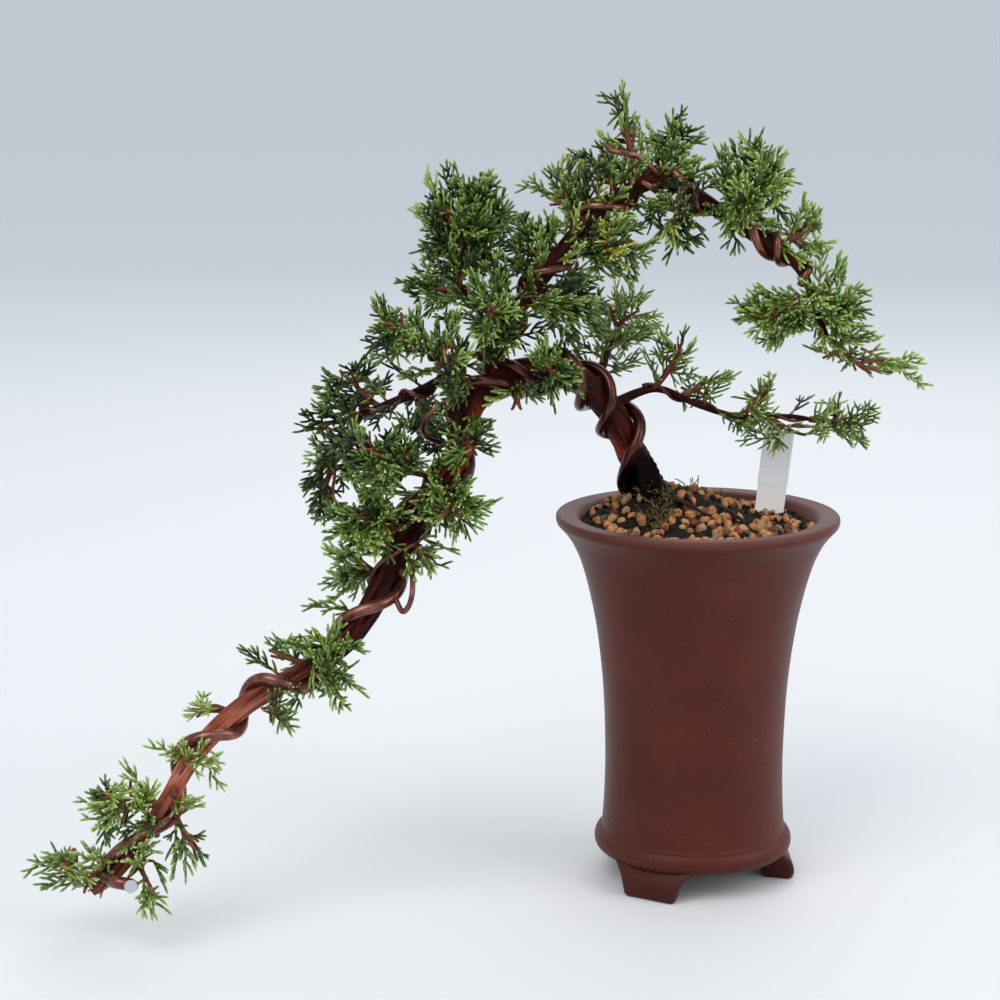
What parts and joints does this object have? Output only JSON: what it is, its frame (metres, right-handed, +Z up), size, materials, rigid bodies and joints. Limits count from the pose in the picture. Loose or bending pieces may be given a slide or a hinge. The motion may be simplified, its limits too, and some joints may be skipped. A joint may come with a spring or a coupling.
{
  "type": "juniper bonsai",
  "caption": "Cascade-style juniper bonsai: a wired, bending trunk that arches over and falls past its pot, with sprays of scale foliage, in a tall flared clay pot on low feet.",
  "frame": {"origin": "centre of the whole object's box, at the level of the feet", "axes": "+X toward the side away from the falling limb, +Y to the back as the picture sees it, +Z up"},
  "size_m": [0.361, 0.1668, 0.3388],
  "materials": {
    "clay": "unglazed satin",
    "soil": "loose grains",
    "bark": "flaking bark",
    "wire": "brown anodised satin",
    "label": "satin",
    "foliage": "scale leaves"
  },
  "bodies": {
    "root": {"apex_fall": "bark", "apex_rise": "bark", "apex_wire": "wire", "back_bough": "bark", "cascade_lower": "bark", "cascade_upper": "bark", "crown_twig": "bark", "foliage_arch_under": "foliage", "foliage_back": "foliage", "foliage_bend_front": "foliage", "foliage_bend_right": "foliage", "foliage_crest": "foliage", "foliage_crest_right": "foliage", "foliage_crown_left": "foliage", "foliage_crown_low": "foliage", "foliage_crown_right": "foliage", "foliage_drop_left": "foliage", "foliage_drop_right": "foliage", "foliage_fall_end": "foliage", "foliage_fall_left": "foliage", "foliage_fall_right": "foliage", "foliage_fork_front": "foliage", "foliage_fork_top": "foliage", "foliage_knee_front": "foliage", "foliage_knee_right": "foliage", "foliage_knee_top": "foliage", "foliage_left_inner": "foliage", "foliage_left_lower": "foliage", "foliage_left_outer": "foliage", "foliage_left_upper": "foliage", "foliage_low_drop": "foliage", "foliage_low_left": "foliage", "foliage_peak": "foliage", "foliage_peak_left": "foliage", "foliage_peak_right": "foliage", "foliage_right_inner": "foliage", "foliage_right_mid": "foliage", "foliage_right_tip": "foliage", "foliage_right_under": "foliage", "foliage_right_up": "foliage", "foliage_rise_left": "foliage", "foliage_rise_low": "foliage", "foliage_rise_right": "foliage", "foliage_run_back": "foliage", "foliage_run_low": "foliage", "foliage_run_top": "foliage", "foliage_run_under": "foliage", "foliage_shoulder": "foliage", "foliage_tip_left": "foliage", "foliage_tip_right": "foliage", "foliage_trunk_drop": "foliage", "foliage_trunk_top": "foliage", "left_bough": "bark", "plant_label": "label", "pot": "clay", "right_bough": "bark", "shoulder_twig": "bark", "soil": "soil", "trunk": "bark", "trunk_wire": "wire"}
  },
  "joints": []
}
